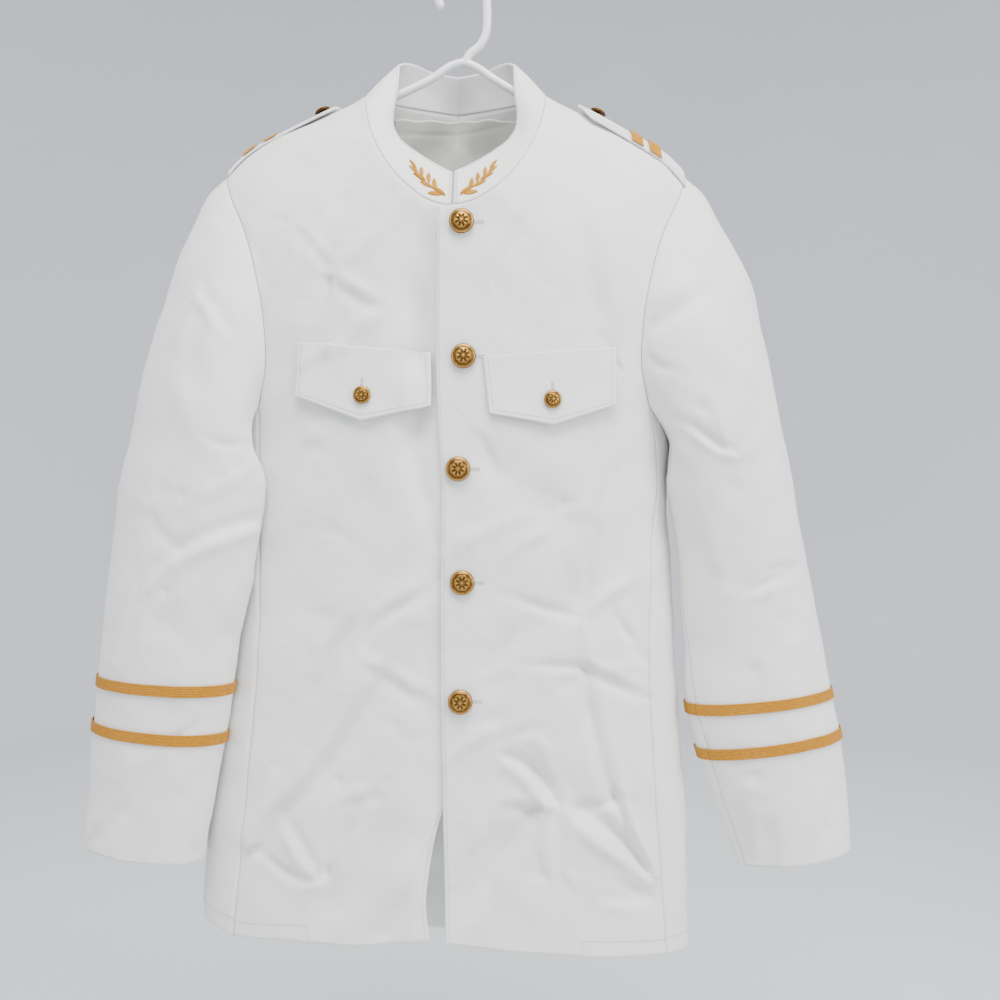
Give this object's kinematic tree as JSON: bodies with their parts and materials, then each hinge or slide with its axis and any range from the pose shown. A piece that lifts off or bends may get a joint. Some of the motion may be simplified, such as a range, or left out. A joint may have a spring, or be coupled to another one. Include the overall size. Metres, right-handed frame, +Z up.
{
  "type": "naval officer jacket on a hanger",
  "caption": "White stand-collar naval officer jacket hanging buttoned on a white plastic hanger, with gold braid at cuffs and shoulders, flapped chest pockets and domed metal buttons.",
  "frame": {"origin": "inner crown of the hanger's hook, where it rests on a rail", "axes": "+Z up, the jacket's front faces -Y, the wearer's left is +X"},
  "size_m": [0.7232, 0.1713, 0.963],
  "materials": {
    "cloth": "matt white twill",
    "lining": "creased pale grey-white lining",
    "braid": "gold ribbed braid with a slight sheen",
    "embroidery": "gold thread embroidery",
    "button": "antiqued brass with bright rubbed edges",
    "plastic": "glossy white"
  },
  "bodies": {
    "root": {"back_left": "cloth", "back_right": "cloth", "braid_left_top_lower": "braid", "braid_left_top_upper": "braid", "braid_left_under_lower": "braid", "braid_left_under_upper": "braid", "braid_right_top_lower": "braid", "braid_right_top_upper": "braid", "braid_right_under_lower": "braid", "braid_right_under_upper": "braid", "button_1": "button", "button_2": "button", "button_3": "button", "button_4": "button", "button_5": "button", "collar": "cloth", "epaulette_left": "cloth", "epaulette_right": "cloth", "flap_left": "cloth", "flap_right": "cloth", "front_left": "cloth", "front_right": "cloth", "hanger": "plastic", "neck_lining": "lining", "pocket_button_left": "button", "pocket_button_right": "button", "shoulder_braid_left_inner": "braid", "shoulder_braid_left_outer": "braid", "shoulder_braid_right_inner": "braid", "shoulder_braid_right_outer": "braid", "shoulder_button_left": "button", "shoulder_button_right": "button", "side_left": "cloth", "side_right": "cloth", "sleeve_left_top": "cloth", "sleeve_left_under": "cloth", "sleeve_right_top": "cloth", "sleeve_right_under": "cloth", "sprig_left": "embroidery", "sprig_right": "embroidery"}
  },
  "joints": []
}
